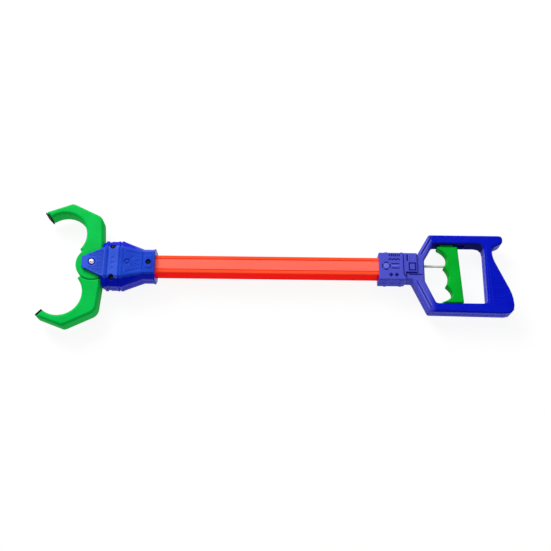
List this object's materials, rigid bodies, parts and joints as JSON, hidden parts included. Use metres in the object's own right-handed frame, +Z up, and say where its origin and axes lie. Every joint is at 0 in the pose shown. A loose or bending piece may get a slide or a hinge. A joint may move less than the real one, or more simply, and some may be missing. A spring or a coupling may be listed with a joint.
{
  "type": "reacher grabber",
  "caption": "Hand-held grabber: a two-finger claw with curved jaws on a square tube, closed by squeezing a sliding trigger inside a loop handle.",
  "frame": {"origin": "middle of the underside of the bounding box, with the tool lying flat on its side", "axes": "+X along the tube from the claw to the handle, +Y from the handle's bottom bar to its top bar, +Z up through the thickness, from the back shells to the front shells"},
  "size_m": [0.5254, 0.1452, 0.0342],
  "materials": {
    "claw_green": "smooth moulded, satin gloss",
    "trigger_green": "smooth moulded, satin gloss",
    "shell_blue": "smooth moulded, with fine texture on the nose plates",
    "tube_red": "glossy extruded, slightly translucent",
    "pad_rubber": "matte",
    "nylon_white": "unpainted nylon",
    "screw_steel": "bright plated",
    "screw_black": "black oxide"
  },
  "bodies": {
    "tool_body": {"head_shell_front": "shell_blue", "head_shell_back": "shell_blue", "pivot_screw": "screw_steel", "head_screw_top": "screw_black", "head_screw_bottom": "screw_black", "tube": "tube_red", "tube_plug_head": "nylon_white", "tube_plug_handle": "nylon_white", "tube_screw_head": "screw_black", "tube_screw_handle": "screw_steel", "return_spring": "screw_steel", "handle_shell_front": "shell_blue", "handle_shell_back": "shell_blue", "handle_screw_1": "screw_steel", "handle_screw_2": "screw_steel", "handle_screw_3": "screw_steel", "handle_screw_4": "screw_steel", "handle_screw_5": "screw_steel", "handle_screw_6": "screw_steel"},
    "pull_train": {"trigger": "trigger_green", "pull_rod": "nylon_white", "spring_collar": "nylon_white", "cam_slider": "nylon_white", "cam_pin": "screw_steel"},
    "upper_claw": {"upper_finger": "claw_green", "upper_tip_pad": "pad_rubber"},
    "lower_claw": {"lower_finger": "claw_green", "lower_tip_pad": "pad_rubber"}
  },
  "joints": [
    {"name": "trigger_slide", "type": "slide", "parent": "tool_body", "child": "pull_train", "axis": [1, 0, 0], "range_m": [0, 0.013], "stiffness_N_per_m": 300, "springref_m": -0.012, "deforming": ["return_spring"]},
    {"name": "upper_finger_pivot", "type": "hinge", "parent": "tool_body", "child": "upper_claw", "pos_m": [-0.20419, 0, 0.0171], "axis": [0, 0, 1], "range_deg": [0, 45.6]},
    {"name": "lower_finger_pivot", "type": "hinge", "parent": "tool_body", "child": "lower_claw", "pos_m": [-0.20419, 0, 0.0171], "axis": [0, 0, 1], "range_deg": [-45.6, 0]}
  ],
  "couplings": [
    {"joint": "upper_finger_pivot", "follows": "trigger_slide", "rad_per_m": 61.22},
    {"joint": "lower_finger_pivot", "follows": "trigger_slide", "rad_per_m": -61.22}
  ]
}
